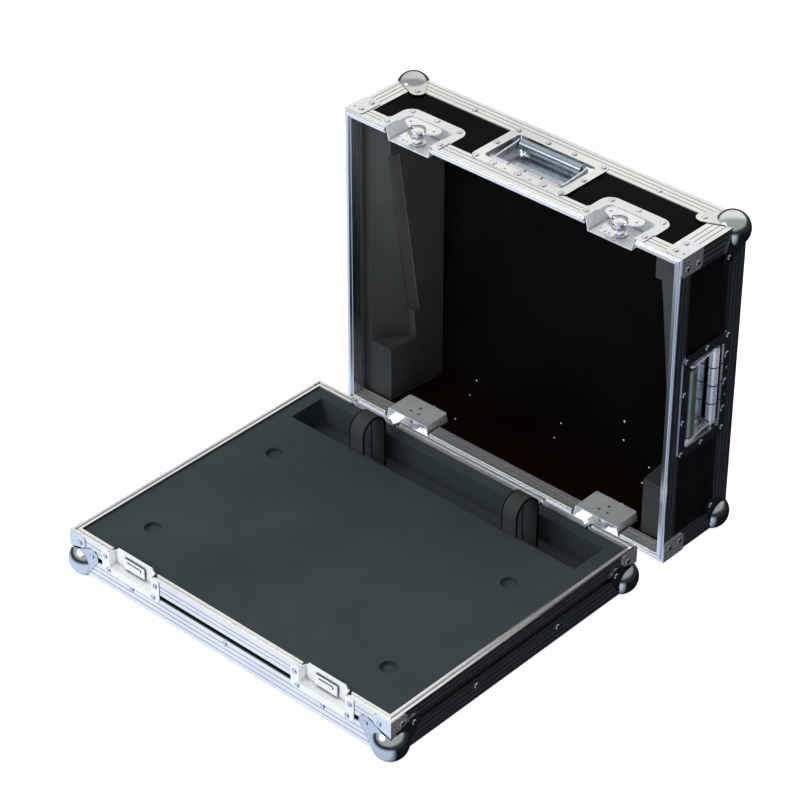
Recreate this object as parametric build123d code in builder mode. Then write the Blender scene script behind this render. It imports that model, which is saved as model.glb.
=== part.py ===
from build123d import *
from math import atan2, degrees
import os

os.makedirs("parts", exist_ok=True)

# Overall sizes of the case
case_width = 600.0
case_depth = 495.0
tray_height = 63.5
lid_height = 142.0
lid_gap = 62.5
ball_radius = 26.0
ball_inset = 14.0
ply = 7.0
rail_wall = 2.0
closed_seam = 0.3
fit_clearance = 0.3

half_width = case_width / 2
half_depth = case_depth / 2
ball_reach = ball_radius - ball_inset
under_z = ball_reach
tray_rim_z = under_z + tray_height
tray_front_y = -(case_depth + lid_gap + lid_height) / 2
tray_rear_y = tray_front_y + case_depth
tray_mid_y = (tray_front_y + tray_rear_y) / 2
lid_rim_y = tray_rear_y + lid_gap
lid_back_y = lid_rim_y + lid_height
lid_top_z = under_z + case_depth
lid_mid_z = under_z + half_depth
wall_depth = rail_wall + ply

# Face frames: x runs along the rim, y away from the rim, z out of the wall
lid_front_face = Plane(origin=(0, lid_rim_y, lid_top_z), x_dir=(1, 0, 0), z_dir=(0, 0, 1))
lid_rear_face = Plane(origin=(0, lid_rim_y, under_z), x_dir=(-1, 0, 0), z_dir=(0, 0, -1))
lid_left_face = Plane(origin=(-half_width, lid_rim_y, lid_mid_z), x_dir=(0, 0, 1), z_dir=(-1, 0, 0))
lid_right_face = Plane(origin=(half_width, lid_rim_y, lid_mid_z), x_dir=(0, 0, -1), z_dir=(1, 0, 0))
tray_front_face = Plane(origin=(0, tray_front_y, tray_rim_z), x_dir=(-1, 0, 0), z_dir=(0, -1, 0))
tray_rear_face = Plane(origin=(0, tray_rear_y, tray_rim_z), x_dir=(1, 0, 0), z_dir=(0, 1, 0))
tray_left_face = Plane(origin=(-half_width, tray_mid_y, tray_rim_z), x_dir=(0, 1, 0), z_dir=(-1, 0, 0))
tray_right_face = Plane(origin=(half_width, tray_mid_y, tray_rim_z), x_dir=(0, -1, 0), z_dir=(1, 0, 0))

# Rail sections
rim_leg = 22.5
rim_inner_leg = 23.0
edge_leg = 32.5
groove_size = 1.3
tray_groove_width = 4.6
tray_groove_depth = 3.5
rail_web = 1.5
tongue_width = 4.0
tongue_height = 3.0
rim_land = 2 * rail_wall + ply
edge_groove_steps = (8.0, 16.0, 24.0)
rim_groove_steps = (8.0, 15.0)

# Latches and their keepers
latch_offset = 180.0
plate = 1.2
recess_half_width = 41.5
recess_floor_half_width = 36.0
recess_length = 50.0
recess_floor_length = 46.0
latch_depth = 19.0
latch_flange_half_width = 56.2
latch_flange_length = 67.4
latch_flange_corner = 18.0
recess_corner = 8.0
floor_corner = 3.0
cutout_margin = 2.0
turner_v = 20.5
keeper_flange_length = 38.0
keeper_recess_length = 26.0
keeper_recess_floor_length = 22.0
keeper_depth = 9.5
keeper_tongue_height = 5.5
keeper_tongue_base = 37.0
keeper_tongue_top = 33.0

# Spring handles
handle_v = 70.0
handle_flange_length = 168.0
handle_flange_width = 105.0
handle_recess_length = 138.0
handle_recess_width = 76.0
handle_depth = 17.0
spindle_offset = 29.5
spindle_radius = 7.2
spindle_w = -8.0
grip_radius = 8.0
grip_length = 110.0
grip_offset = 26.0
grip_w = -3.5
arm_u = 60.0
arm_thickness = 3.0

# Foam and straps
foam_below_rim = 3.5
foot_spacing_x = 443.0
foot_spacing_y = 239.0
foot_centre_y = 201.8
foot_radius = 12.5
foot_depth = 6.0
trough_half_width = 267.0
trough_front = 403.0
trough_rear = 466.0
trough_depth = 44.0


def local_plane(face, u, v, w):
    """A plane with the face's directions, moved by u, v and w."""
    return Plane(face.location * Location((u, v, w)))


def save(piece, name):
    """Label one piece and write its file."""
    piece.label = name
    export_step(piece, "parts/" + name + ".step")


def save_group(pieces, name):
    """Write several separate solids as one node."""
    group = Compound(label=name, children=pieces)
    export_step(group, "parts/" + name + ".step")


# Rails: one section pushed along a wall, mitred at both ends
def frame_rail(face, half_length, outline, grooves, recesses, recess_length_v):
    section = Plane(origin=face.origin, x_dir=face.y_dir, z_dir=face.x_dir)
    with BuildPart() as rail:
        with BuildSketch(section):
            with BuildLine():
                Polyline(*outline, close=True)
            make_face()
            with Locations(*grooves):
                Rectangle(groove_size, groove_size, mode=Mode.SUBTRACT)
        extrude(amount=half_length, both=True)
        for end in (1, -1):
            corner = local_plane(face, end * half_length, 0, 0)
            mitre = Plane(origin=corner.origin, z_dir=face.x_dir * end - face.z_dir)
            split(bisect_by=mitre, keep=Keep.BOTTOM)
        for recess in recesses:
            with Locations(local_plane(face, recess, 0, 0).location):
                Box(
                    2 * (recess_half_width + cutout_margin),
                    2 * recess_length_v,
                    4 * rim_land,
                    mode=Mode.SUBTRACT,
                )
    return rail.part


def rim_outline(land_low, middle):
    """Channel section in (v, w): outer leg, land and inner leg around the panel edge."""
    return [
        (0, 0),
        (rim_leg, 0),
        (rim_leg, -rail_wall),
        (land_low, -rail_wall),
        (land_low, -rail_wall - ply),
        (rim_inner_leg, -rail_wall - ply),
        (rim_inner_leg, -rim_land),
        (0, -rim_land),
        *middle,
    ]


tray_groove_side = (rim_land - tray_groove_width) / 2
tray_land = tray_groove_depth + rail_web
tray_rim_section = rim_outline(
    tray_land,
    [
        (0, -rim_land + tray_groove_side),
        (tray_groove_depth, -rim_land + tray_groove_side),
        (tray_groove_depth, -tray_groove_side),
        (0, -tray_groove_side),
    ],
)
tongue_side = (rim_land - tongue_width) / 2
lid_rim_section = rim_outline(
    rail_wall,
    [
        (0, -rim_land + tongue_side),
        (-tongue_height, -rim_land + tongue_side),
        (-tongue_height, -tongue_side),
        (0, -tongue_side),
    ],
)


def edge_outline(height):
    """Angle section in (v, w) around the edge between a wall and the panel."""
    return [
        (height, 0),
        (height - edge_leg, 0),
        (height - edge_leg, -rail_wall),
        (height - rail_wall, -rail_wall),
        (height - rail_wall, -edge_leg),
        (height, -edge_leg),
    ]


rim_grooves = [(step, 0) for step in rim_groove_steps]
rim_grooves += [(step, -rim_land) for step in rim_groove_steps]


def edge_grooves(height):
    """Groove centres on both legs of an edge rail."""
    return [(height - step, 0) for step in edge_groove_steps] + [(height, -step) for step in edge_groove_steps]


latch_places = (-latch_offset, latch_offset)
latch_cut = recess_length + cutout_margin
keeper_cut = keeper_recess_length + cutout_margin

save(frame_rail(tray_front_face, half_width, tray_rim_section, rim_grooves, latch_places, keeper_cut), "tray_rim_front")
save(frame_rail(tray_rear_face, half_width, tray_rim_section, rim_grooves, latch_places, keeper_cut), "tray_rim_rear")
save_group(
    [frame_rail(face, half_depth, tray_rim_section, rim_grooves, (), 1) for face in (tray_left_face, tray_right_face)],
    "tray_rim_sides",
)
save(frame_rail(lid_front_face, half_width, lid_rim_section, rim_grooves, latch_places, latch_cut), "lid_rim_front")
save(frame_rail(lid_rear_face, half_width, lid_rim_section, rim_grooves, latch_places, latch_cut), "lid_rim_rear")
save_group(
    [frame_rail(face, half_depth, lid_rim_section, rim_grooves, (), 1) for face in (lid_left_face, lid_right_face)],
    "lid_rim_sides",
)

tray_edge_section = edge_outline(tray_height)
lid_edge_section = edge_outline(lid_height)
tray_edge_grooves = edge_grooves(tray_height)
lid_edge_grooves = edge_grooves(lid_height)
save(frame_rail(tray_front_face, half_width, tray_edge_section, tray_edge_grooves, (), 1), "tray_edge_front")
save(frame_rail(tray_rear_face, half_width, tray_edge_section, tray_edge_grooves, (), 1), "tray_edge_rear")
save_group(
    [
        frame_rail(face, half_depth, tray_edge_section, tray_edge_grooves, (), 1)
        for face in (tray_left_face, tray_right_face)
    ],
    "tray_edge_sides",
)
save(frame_rail(lid_front_face, half_width, lid_edge_section, lid_edge_grooves, (), 1), "lid_edge_front")
save(frame_rail(lid_rear_face, half_width, lid_edge_section, lid_edge_grooves, (), 1), "lid_edge_rear")
save_group(
    [
        frame_rail(face, half_depth, lid_edge_section, lid_edge_grooves, (), 1)
        for face in (lid_left_face, lid_right_face)
    ],
    "lid_edge_sides",
)


# Panels: plywood boards inset by the thickness of the rails
handle_cut = (0, handle_v, handle_recess_length + 2 * cutout_margin, handle_recess_width + 2 * cutout_margin)
latch_cuts = [
    (place, latch_cut / 2, 2 * (recess_half_width + cutout_margin), latch_cut)
    for place in latch_places
]
keeper_cuts = [
    (place, keeper_cut / 2, 2 * (recess_half_width + cutout_margin), keeper_cut)
    for place in latch_places
]


def wall_panel(face, half_length, first_v, last_v, cuts):
    with BuildPart() as panel:
        with BuildSketch(face.offset(-rail_wall)):
            with Locations((0, (first_v + last_v) / 2)):
                Rectangle(2 * half_length, last_v - first_v)
            for cut_u, cut_v, cut_width, cut_height in cuts:
                with Locations((cut_u, cut_v)):
                    Rectangle(cut_width, cut_height, mode=Mode.SUBTRACT)
        extrude(amount=-ply)
    return panel.part


def back_panel(centre, normal, depth_y):
    with BuildPart() as panel:
        with BuildSketch(Plane(origin=centre, x_dir=(1, 0, 0), z_dir=normal)):
            Rectangle(case_width - 2 * rail_wall, depth_y - 2 * rail_wall)
        extrude(amount=-ply)
    return panel.part


inner_half_width = half_width - wall_depth
side_half_depth = half_depth - rail_wall
tray_wall_end = tray_height - wall_depth
lid_wall_end = lid_height - wall_depth
save(back_panel((0, tray_mid_y, under_z + rail_wall), (0, 0, -1), case_depth), "tray_floor_panel")
save(back_panel((0, lid_back_y - rail_wall, lid_mid_z), (0, 1, 0), case_depth), "lid_top_panel")
save(wall_panel(tray_front_face, inner_half_width, tray_land, tray_wall_end, keeper_cuts), "tray_front_wall")
save(wall_panel(tray_rear_face, inner_half_width, tray_land, tray_wall_end, keeper_cuts), "tray_rear_wall")
save(wall_panel(tray_left_face, side_half_depth, tray_land, tray_wall_end, []), "tray_left_wall")
save(wall_panel(tray_right_face, side_half_depth, tray_land, tray_wall_end, []), "tray_right_wall")
save(
    wall_panel(lid_front_face, inner_half_width, rail_wall, lid_wall_end, latch_cuts + [handle_cut]),
    "lid_front_wall",
)
save(wall_panel(lid_rear_face, inner_half_width, rail_wall, lid_wall_end, latch_cuts), "lid_rear_wall")
save(wall_panel(lid_left_face, side_half_depth, rail_wall, lid_wall_end, [handle_cut]), "lid_left_wall")
save(wall_panel(lid_right_face, side_half_depth, rail_wall, lid_wall_end, [handle_cut]), "lid_right_wall")


# Corner angles on the four upright edges of the lid
angle_start = rim_leg + fit_clearance
angle_end = lid_height - edge_leg - fit_clearance


def corner_angle(x_side, z_face, z_side):
    centre_y = lid_rim_y + (angle_start + angle_end) / 2
    with BuildPart() as angle:
        with BuildSketch(Plane(origin=(x_side * half_width, centre_y, z_face), x_dir=(1, 0, 0), z_dir=(0, -1, 0))):
            with Locations((-x_side * edge_leg / 2, -z_side * rail_wall / 2)):
                Rectangle(edge_leg, rail_wall)
            with Locations((-x_side * rail_wall / 2, -z_side * edge_leg / 2)):
                Rectangle(rail_wall, edge_leg)
            for step in edge_groove_steps:
                with Locations((-x_side * step, 0), (0, -z_side * step)):
                    Rectangle(groove_size, groove_size, mode=Mode.SUBTRACT)
        extrude(amount=(angle_end - angle_start) / 2, both=True)
    return angle.part


save_group(
    [
        corner_angle(x_side, z_face, z_side)
        for x_side in (-1, 1)
        for z_face, z_side in ((lid_top_z, 1), (under_z, -1))
    ],
    "lid_corner_angles",
)

# Flat corner braces folded round the upright edges at the rims
brace_leg = 30.0
brace_start = 0.6
lid_brace_edge_end = 45.0
lid_brace_inner_end = 45.0
tray_brace_edge_end = 27.0
tray_brace_inner_end = 18.3
brace_corner = 7.0
lid_brace_ends = (lid_brace_edge_end, lid_brace_inner_end)
tray_brace_ends = (tray_brace_edge_end, tray_brace_inner_end)


def brace_wing(face, side, half_length, edge_end, inner_end):
    """One leg of a brace: a plate with two rounded corners that reaches past the edge by its own thickness."""
    inner_u = side * (half_length - brace_leg)
    outer_u = side * (half_length + plate)
    with BuildPart() as wing:
        with BuildSketch(face):
            with BuildLine():
                Polyline(
                    (inner_u, brace_start),
                    (outer_u, brace_start),
                    (outer_u, edge_end),
                    (inner_u, inner_end),
                    close=True,
                )
            make_face()
        extrude(amount=plate)
        inner_edges = wing.edges().filter_by(Axis(face.origin, face.z_dir))
        inner_edges = inner_edges.sort_by(Axis(face.origin, face.x_dir * side))[0:2]
        fillet(inner_edges, brace_corner)
    return wing.part


def corner_brace(first_face, first_side, first_half, second_face, second_side, second_half, edge_end, inner_end):
    with BuildPart() as brace:
        add(brace_wing(first_face, first_side, first_half, edge_end, inner_end))
        add(brace_wing(second_face, second_side, second_half, edge_end, inner_end))
    return brace.part


save_group(
    [
        corner_brace(lid_front_face, 1, half_width, lid_right_face, -1, half_depth, *lid_brace_ends),
        corner_brace(lid_front_face, -1, half_width, lid_left_face, 1, half_depth, *lid_brace_ends),
        corner_brace(lid_rear_face, -1, half_width, lid_right_face, 1, half_depth, *lid_brace_ends),
        corner_brace(lid_rear_face, 1, half_width, lid_left_face, -1, half_depth, *lid_brace_ends),
    ],
    "lid_corner_braces",
)
save_group(
    [
        corner_brace(tray_front_face, 1, half_width, tray_left_face, -1, half_depth, *tray_brace_ends),
        corner_brace(tray_front_face, -1, half_width, tray_right_face, 1, half_depth, *tray_brace_ends),
        corner_brace(tray_rear_face, -1, half_width, tray_left_face, 1, half_depth, *tray_brace_ends),
        corner_brace(tray_rear_face, 1, half_width, tray_right_face, -1, half_depth, *tray_brace_ends),
    ],
    "tray_corner_braces",
)

# Ball corners: a steel ball shell over each outer corner with three riveted legs
petal_side = 43.0
petal_end = 37.5
petal_back = 40.0
petal_tip_radius = 12.0
petal_root_radius = 21.0


def petal(plane, root, tip):
    """A plate that narrows from the ball to a rounded tip."""
    with BuildPart() as leg:
        with BuildSketch(plane):
            with Locations(root):
                Circle(petal_root_radius)
            with Locations(tip):
                Circle(petal_tip_radius)
            make_hull()
        extrude(amount=plate)
    return leg.part


def ball_corner(origin, x_out, wall_out, back_out):
    """A ball corner at a case corner whose three outward directions are given."""
    x_dir = Vector(x_out)
    wall_dir = Vector(wall_out)
    back_dir = Vector(back_out)
    corner = Vector(origin)
    centre = corner - (x_dir + wall_dir + back_dir) * ball_inset
    block_centre = corner - (x_dir + wall_dir + back_dir) * ball_radius * 2
    side_plane = Plane(origin=corner, x_dir=wall_dir * -1, z_dir=x_dir)
    wall_plane = Plane(origin=corner, x_dir=x_dir * -1, z_dir=wall_dir)
    back_plane = Plane(origin=corner, x_dir=x_dir * -1, z_dir=back_dir)
    side_sign = side_plane.y_dir.dot(back_dir * -1)
    wall_sign = wall_plane.y_dir.dot(back_dir * -1)
    back_sign = back_plane.y_dir.dot(wall_dir * -1)
    with BuildPart() as ball:
        with Locations(centre):
            Sphere(ball_radius)
        add(petal(side_plane, (ball_inset, side_sign * ball_inset), (petal_side, side_sign * petal_end)))
        add(petal(wall_plane, (ball_inset, wall_sign * ball_inset), (petal_side, wall_sign * petal_end)))
        add(petal(back_plane, (ball_inset, back_sign * ball_inset), (petal_back, back_sign * petal_back)))
        with Locations(block_centre):
            Box(4 * ball_radius, 4 * ball_radius, 4 * ball_radius, mode=Mode.SUBTRACT)
    return ball.part


lid_balls = []
for x_side in (-1, 1):
    for z_corner, z_side in ((lid_top_z, 1), (under_z, -1)):
        lid_balls.append(
            ball_corner((x_side * half_width, lid_back_y, z_corner), (x_side, 0, 0), (0, 0, z_side), (0, 1, 0))
        )
save_group(lid_balls, "lid_ball_corners")

tray_balls = []
rear_caps = []
cap_start = half_width + plate
for x_side in (-1, 1):
    tray_balls.append(
        ball_corner((x_side * half_width, tray_front_y, under_z), (x_side, 0, 0), (0, -1, 0), (0, 0, -1))
    )
    rear_ball = ball_corner((x_side * half_width, tray_rear_y, under_z), (x_side, 0, 0), (0, 1, 0), (0, 0, -1))
    with BuildPart() as rear_corner:
        add(rear_ball)
        split(bisect_by=Plane(origin=(x_side * cap_start, 0, 0), z_dir=(x_side, 0, 0)), keep=Keep.BOTTOM)
    tray_balls.append(rear_corner.part)
    cap_centre = (x_side * (half_width - ball_inset), tray_rear_y - ball_inset, under_z + ball_inset)
    with BuildPart() as rear_cap:
        with Locations(Location(cap_centre, (0, 90, 0))):
            Sphere(ball_radius)
        split(
            bisect_by=Plane(origin=(x_side * (cap_start + fit_clearance), 0, 0), z_dir=(x_side, 0, 0)),
            keep=Keep.TOP,
        )
    rear_caps.append(rear_cap.part)
save_group(tray_balls, "tray_ball_corners")
save_group(rear_caps, "tray_rear_ball_caps")


# Latch dishes: a flanged pan set into the lid walls and open at the rim
def pan(face, grow, top_w, top_half, top_length, floor_half, floor_length, floor_w, corner, floor_corner):
    """A tapered trough that starts beyond the rim."""
    with BuildPart() as body:
        with BuildSketch(local_plane(face, 0, 0, top_w)):
            with Locations((0, 0)):
                RectangleRounded(2 * (top_half + grow), 2 * (top_length + grow), corner + grow)
        with BuildSketch(local_plane(face, 0, 0, floor_w)):
            with Locations((0, 0)):
                RectangleRounded(2 * (floor_half + grow), 2 * (floor_length + grow), floor_corner + grow)
        loft()
    return body.part


def latch_dish(face):
    flange_side = Plane(origin=face.origin, x_dir=face.y_dir, z_dir=face.x_dir)
    step_v = rim_leg + fit_clearance
    with BuildPart() as dish:
        with BuildSketch(flange_side):
            with BuildLine():
                Polyline(
                    (0, 0),
                    (step_v, 0),
                    (step_v, -rail_wall),
                    (latch_flange_length, -rail_wall),
                    (latch_flange_length, plate - rail_wall),
                    (step_v + plate, plate - rail_wall),
                    (step_v + plate, plate),
                    (0, plate),
                    close=True,
                )
            make_face()
        extrude(amount=latch_flange_half_width, both=True)
        far_edges = dish.edges().filter_by(Axis(face.origin, face.z_dir))
        far_edges = far_edges.sort_by(Axis(face.origin, face.y_dir))[-2:]
        fillet(far_edges, latch_flange_corner)
        add(
            pan(
                face,
                plate,
                plate,
                recess_half_width,
                recess_length,
                recess_floor_half_width,
                recess_floor_length,
                -latch_depth - plate,
                recess_corner,
                floor_corner,
            )
        )
        add(
            pan(
                face,
                0,
                plate,
                recess_half_width,
                recess_length,
                recess_floor_half_width,
                recess_floor_length,
                -latch_depth,
                recess_corner,
                floor_corner,
            ),
            mode=Mode.SUBTRACT,
        )
        split(bisect_by=Plane(origin=face.origin, z_dir=face.y_dir), keep=Keep.TOP)
        with Locations(local_plane(face, 0, step_v + plate + latch_flange_length / 2, plate - rail_wall + ply / 2).location):
            Box(2 * latch_flange_half_width, latch_flange_length, ply, mode=Mode.SUBTRACT)
    return dish.part


latch_frames = []
for face in (lid_front_face, lid_rear_face):
    for place in latch_places:
        latch_frames.append(local_plane(face, place, 0, 0))
save_group([latch_dish(frame) for frame in latch_frames], "latch_dishes")


# Keeper dishes on the tray rim and the hooked keeper plates inside them
keeper_plate_w = -6.0
keeper_plate_thickness = 1.6
keeper_half_width = 20.0
keeper_start = 3.0
keeper_end = 19.0
keeper_slot_width = 26.0
keeper_slot_height = 2.4
keeper_slot_v = 7.0
keeper_foot_radius = 3.0
keeper_foot_spacing = 24.0
keeper_foot_v = 14.0
keeper_pin_u = 31.0
keeper_pin_v = 16.0
keeper_pin_radius = 3.0


def keeper_dish(face):
    with BuildPart() as dish:
        with BuildSketch(face):
            with Locations((0, keeper_flange_length / 2)):
                Rectangle(2 * latch_flange_half_width, keeper_flange_length)
        extrude(amount=plate)
        far_edges = dish.edges().filter_by(Axis(face.origin, face.z_dir))
        far_edges = far_edges.sort_by(Axis(face.origin, face.y_dir))[-2:]
        fillet(far_edges, recess_corner)
        add(
            pan(
                face,
                plate,
                plate,
                recess_half_width,
                keeper_recess_length,
                recess_floor_half_width + cutout_margin,
                keeper_recess_floor_length,
                -keeper_depth - plate,
                recess_corner / 2,
                recess_corner / 2,
            )
        )
        add(
            pan(
                face,
                0,
                plate,
                recess_half_width,
                keeper_recess_length,
                recess_floor_half_width + cutout_margin,
                keeper_recess_floor_length,
                -keeper_depth,
                recess_corner / 2,
                recess_corner / 2,
            ),
            mode=Mode.SUBTRACT,
        )
        split(bisect_by=Plane(origin=face.origin, z_dir=face.y_dir), keep=Keep.TOP)
        with BuildSketch(local_plane(face, 0, 0, -keeper_depth)):
            with BuildLine():
                Polyline(
                    (-keeper_tongue_base, keeper_tongue_height),
                    (-keeper_tongue_base, 0),
                    (-keeper_tongue_top, -keeper_tongue_height),
                    (keeper_tongue_top, -keeper_tongue_height),
                    (keeper_tongue_base, 0),
                    (keeper_tongue_base, keeper_tongue_height),
                    close=True,
                )
            make_face()
        extrude(amount=-plate)
    return dish.part


def keeper(face):
    with BuildPart() as hook_plate:
        with BuildSketch(local_plane(face, 0, 0, keeper_plate_w)):
            with Locations((0, (keeper_start + keeper_end) / 2)):
                Rectangle(2 * keeper_half_width, keeper_end - keeper_start)
            with Locations((0, keeper_slot_v)):
                Rectangle(keeper_slot_width, keeper_slot_height, mode=Mode.SUBTRACT)
            with Locations((-keeper_slot_width / 2, keeper_slot_v + keeper_slot_height)):
                Rectangle(keeper_slot_height, 2 * keeper_slot_height, mode=Mode.SUBTRACT)
        extrude(amount=-keeper_plate_thickness)
        with BuildSketch(local_plane(face, 0, 0, keeper_plate_w - keeper_plate_thickness)):
            with Locations((-keeper_foot_spacing / 2, keeper_foot_v), (keeper_foot_spacing / 2, keeper_foot_v)):
                Circle(keeper_foot_radius)
        extrude(amount=-(keeper_depth + keeper_plate_w - keeper_plate_thickness))
    return hook_plate.part


keeper_frames = []
for face in (tray_front_face, tray_rear_face):
    for place in latch_places:
        keeper_frames.append(local_plane(face, place, 0, 0))
save_group([keeper_dish(frame) for frame in keeper_frames], "keeper_dishes")
save_group([keeper(frame) for frame in keeper_frames], "keepers")


# Latch hooks: a slotted plate round the turner post with a folded claw
hook_top_w = -4.4
hook_thickness = 1.6
hook_half_width = 16.0
hook_reach = 12.0
hook_end_v = 36.0
hook_travel = 6.0
claw_half_width = 11.0
claw_depth = 1.2
post_radius = 6.0
post_slot_radius = post_radius + fit_clearance
claw_slot_length = 5.0
claw_slot_width = 1.6
claw_slot_spacing = 7.0


def latch_hook(face):
    with BuildPart() as hook:
        with BuildSketch(local_plane(face, 0, 0, hook_top_w)):
            with Locations((0, hook_end_v / 2)):
                Rectangle(2 * hook_half_width, hook_end_v)
            with Locations((0, -hook_reach / 2)):
                Rectangle(2 * claw_half_width, hook_reach)
            with Locations((0, turner_v)):
                Circle(post_slot_radius, mode=Mode.SUBTRACT)
            with Locations((0, turner_v - hook_travel)):
                Circle(post_slot_radius, mode=Mode.SUBTRACT)
            with Locations((0, turner_v - hook_travel / 2)):
                Rectangle(2 * post_slot_radius, hook_travel, mode=Mode.SUBTRACT)
            with Locations((-claw_slot_spacing / 2, -hook_reach / 2), (claw_slot_spacing / 2, -hook_reach / 2)):
                Rectangle(claw_slot_width, claw_slot_length, mode=Mode.SUBTRACT)
        extrude(amount=-hook_thickness)
        with Locations(local_plane(face, 0, -hook_reach + hook_thickness / 2, hook_top_w + claw_depth / 2).location):
            Box(2 * claw_half_width, hook_thickness, claw_depth)
    return hook.part


# Turners: a post with a domed head that is pierced by the wing's pin
post_foot_radius = 12.0
post_foot_height = 2.0
head_radius = 10.4
head_start_w = 0.4
head_shoulder_w = 1.0
head_top_w = 5.0
pin_radius = 1.5
pin_w = 2.6
pin_half_length = 13.0
dome_rise = head_top_w - head_shoulder_w
dome_radius = (head_radius**2 + dome_rise**2) / (2 * dome_rise)
dome_middle_w = head_top_w - dome_radius + (dome_radius**2 - (head_radius / 2) ** 2) ** 0.5


def turner(face):
    profile_plane = local_plane(face, 0, turner_v, 0)
    side = Plane(origin=profile_plane.origin, x_dir=face.x_dir, z_dir=face.y_dir * -1)
    with BuildPart() as post:
        with BuildSketch(side):
            with BuildLine():
                Polyline(
                    (0, -latch_depth),
                    (post_foot_radius, -latch_depth),
                    (post_foot_radius, -latch_depth + post_foot_height),
                    (post_radius, -latch_depth + post_foot_height),
                    (post_radius, head_start_w),
                    (head_radius, head_start_w),
                    (head_radius, head_shoulder_w),
                )
                ThreePointArc((head_radius, head_shoulder_w), (head_radius / 2, dome_middle_w), (0, head_top_w))
                Line((0, head_top_w), (0, -latch_depth))
            make_face()
        revolve(axis=Axis(profile_plane.origin, face.z_dir))
        with BuildSketch(Plane(origin=profile_plane.origin, x_dir=face.y_dir, z_dir=face.x_dir)):
            with Locations((0, pin_w)):
                Circle(pin_radius)
        extrude(amount=pin_half_length, both=True)
    return post.part


# Wings: a heart-shaped thumb plate that swings on the turner's pin
wing_low_w = 1.6
wing_thickness = 2.0
wing_lobe_u = 21.0
wing_lobe_v = 11.0
wing_lobe_radius = 10.0
wing_near_half = 15.0
wing_near_v = -4.0
wing_notch_radius = head_radius + 1.2
wing_pin_clearance = 0.3
knuckle_radius = 2.9
wing_mark_u = 22.0
wing_mark_v = 9.0
wing_mark_radius = 2.2


def wing(face):
    with BuildPart() as plate_part:
        with BuildSketch(local_plane(face, 0, turner_v, wing_low_w)):
            with Locations((-wing_lobe_u, wing_lobe_v), (wing_lobe_u, wing_lobe_v)):
                Circle(wing_lobe_radius)
            with Locations((-wing_near_half + 2, wing_near_v + 2), (wing_near_half - 2, wing_near_v + 2)):
                Circle(2)
            make_hull()
            Circle(wing_notch_radius, mode=Mode.SUBTRACT)
            with Locations((0, wing_near_v)):
                Rectangle(2 * wing_notch_radius, -2 * wing_near_v, mode=Mode.SUBTRACT)
            with Locations((-wing_mark_u, wing_mark_v), (wing_mark_u, wing_mark_v)):
                Circle(wing_mark_radius, mode=Mode.SUBTRACT)
        extrude(amount=wing_thickness)
        pin_side = Plane(origin=local_plane(face, 0, turner_v, 0).origin, x_dir=face.y_dir, z_dir=face.x_dir)
        for knuckle_start in (-pin_half_length, wing_notch_radius):
            with BuildSketch(pin_side.offset(knuckle_start)):
                with Locations((0, pin_w)):
                    Circle(knuckle_radius)
            extrude(amount=pin_half_length - wing_notch_radius)
        with BuildSketch(pin_side):
            with Locations((0, pin_w)):
                Circle(pin_radius + wing_pin_clearance)
        extrude(amount=pin_half_length + wing_pin_clearance, both=True, mode=Mode.SUBTRACT)
    return plate_part.part


latch_names = ("front_left", "front_right", "rear_right", "rear_left")
for frame, latch_name in zip(latch_frames, latch_names):
    save(latch_hook(frame), "latch_hook_" + latch_name)
    save(turner(frame), "latch_turner_" + latch_name)
    save(wing(frame), "latch_wing_" + latch_name)


# Spring handles: a flanged dish, a sprung spindle and a bail with a grip
def turned(face):
    """The same face frame turned half round its normal."""
    return Plane(origin=face.origin, x_dir=face.x_dir * -1, z_dir=face.z_dir)


front_handle_frame = local_plane(lid_front_face, 0, handle_v, 0)
left_handle_frame = turned(local_plane(lid_left_face, 0, handle_v, 0))
right_handle_frame = turned(local_plane(lid_right_face, 0, handle_v, 0))
handle_frames = (front_handle_frame, left_handle_frame, right_handle_frame)
handle_names = ("front", "left", "right")
flange_corner = 12.0
handle_corner = 6.0
arm_eye_radius = 7.0
arm_eye_clearance = 0.5
arm_half_height = 4.0
spindle_half_length = 64.0
spindle_gap = 2.0
spindle_core_radius = 3.0


def handle_dish(frame):
    with BuildPart() as dish:
        with BuildSketch(frame):
            RectangleRounded(handle_flange_length, handle_flange_width, flange_corner)
        extrude(amount=plate)
        with BuildSketch(local_plane(frame, 0, 0, plate)):
            RectangleRounded(handle_recess_length + 2 * plate, handle_recess_width + 2 * plate, handle_corner + plate)
        extrude(amount=-handle_depth - 2 * plate)
        with BuildSketch(local_plane(frame, 0, 0, plate)):
            RectangleRounded(handle_recess_length, handle_recess_width, handle_corner)
        extrude(amount=-handle_depth - plate, mode=Mode.SUBTRACT)
    return dish.part


spindle_arm_gap = arm_thickness / 2 + arm_eye_clearance


def spindle(frame):
    """A thin core between the dish's end walls with four fatter sleeves on it."""
    axis_plane = local_plane(frame, 0, -spindle_offset, spindle_w)
    end_plane = Plane(origin=axis_plane.origin, x_dir=frame.y_dir, z_dir=frame.x_dir)
    sleeve_length = (2 * (arm_u - spindle_arm_gap) - 3 * spindle_gap) / 4
    with BuildPart() as rod:
        with BuildSketch(end_plane):
            Circle(spindle_core_radius)
        extrude(amount=handle_recess_length / 2, both=True)
        for index in range(4):
            start = -(arm_u - spindle_arm_gap) + index * (sleeve_length + spindle_gap)
            with BuildSketch(end_plane.offset(start)):
                Circle(spindle_radius)
            extrude(amount=sleeve_length)
    return rod.part


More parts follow.
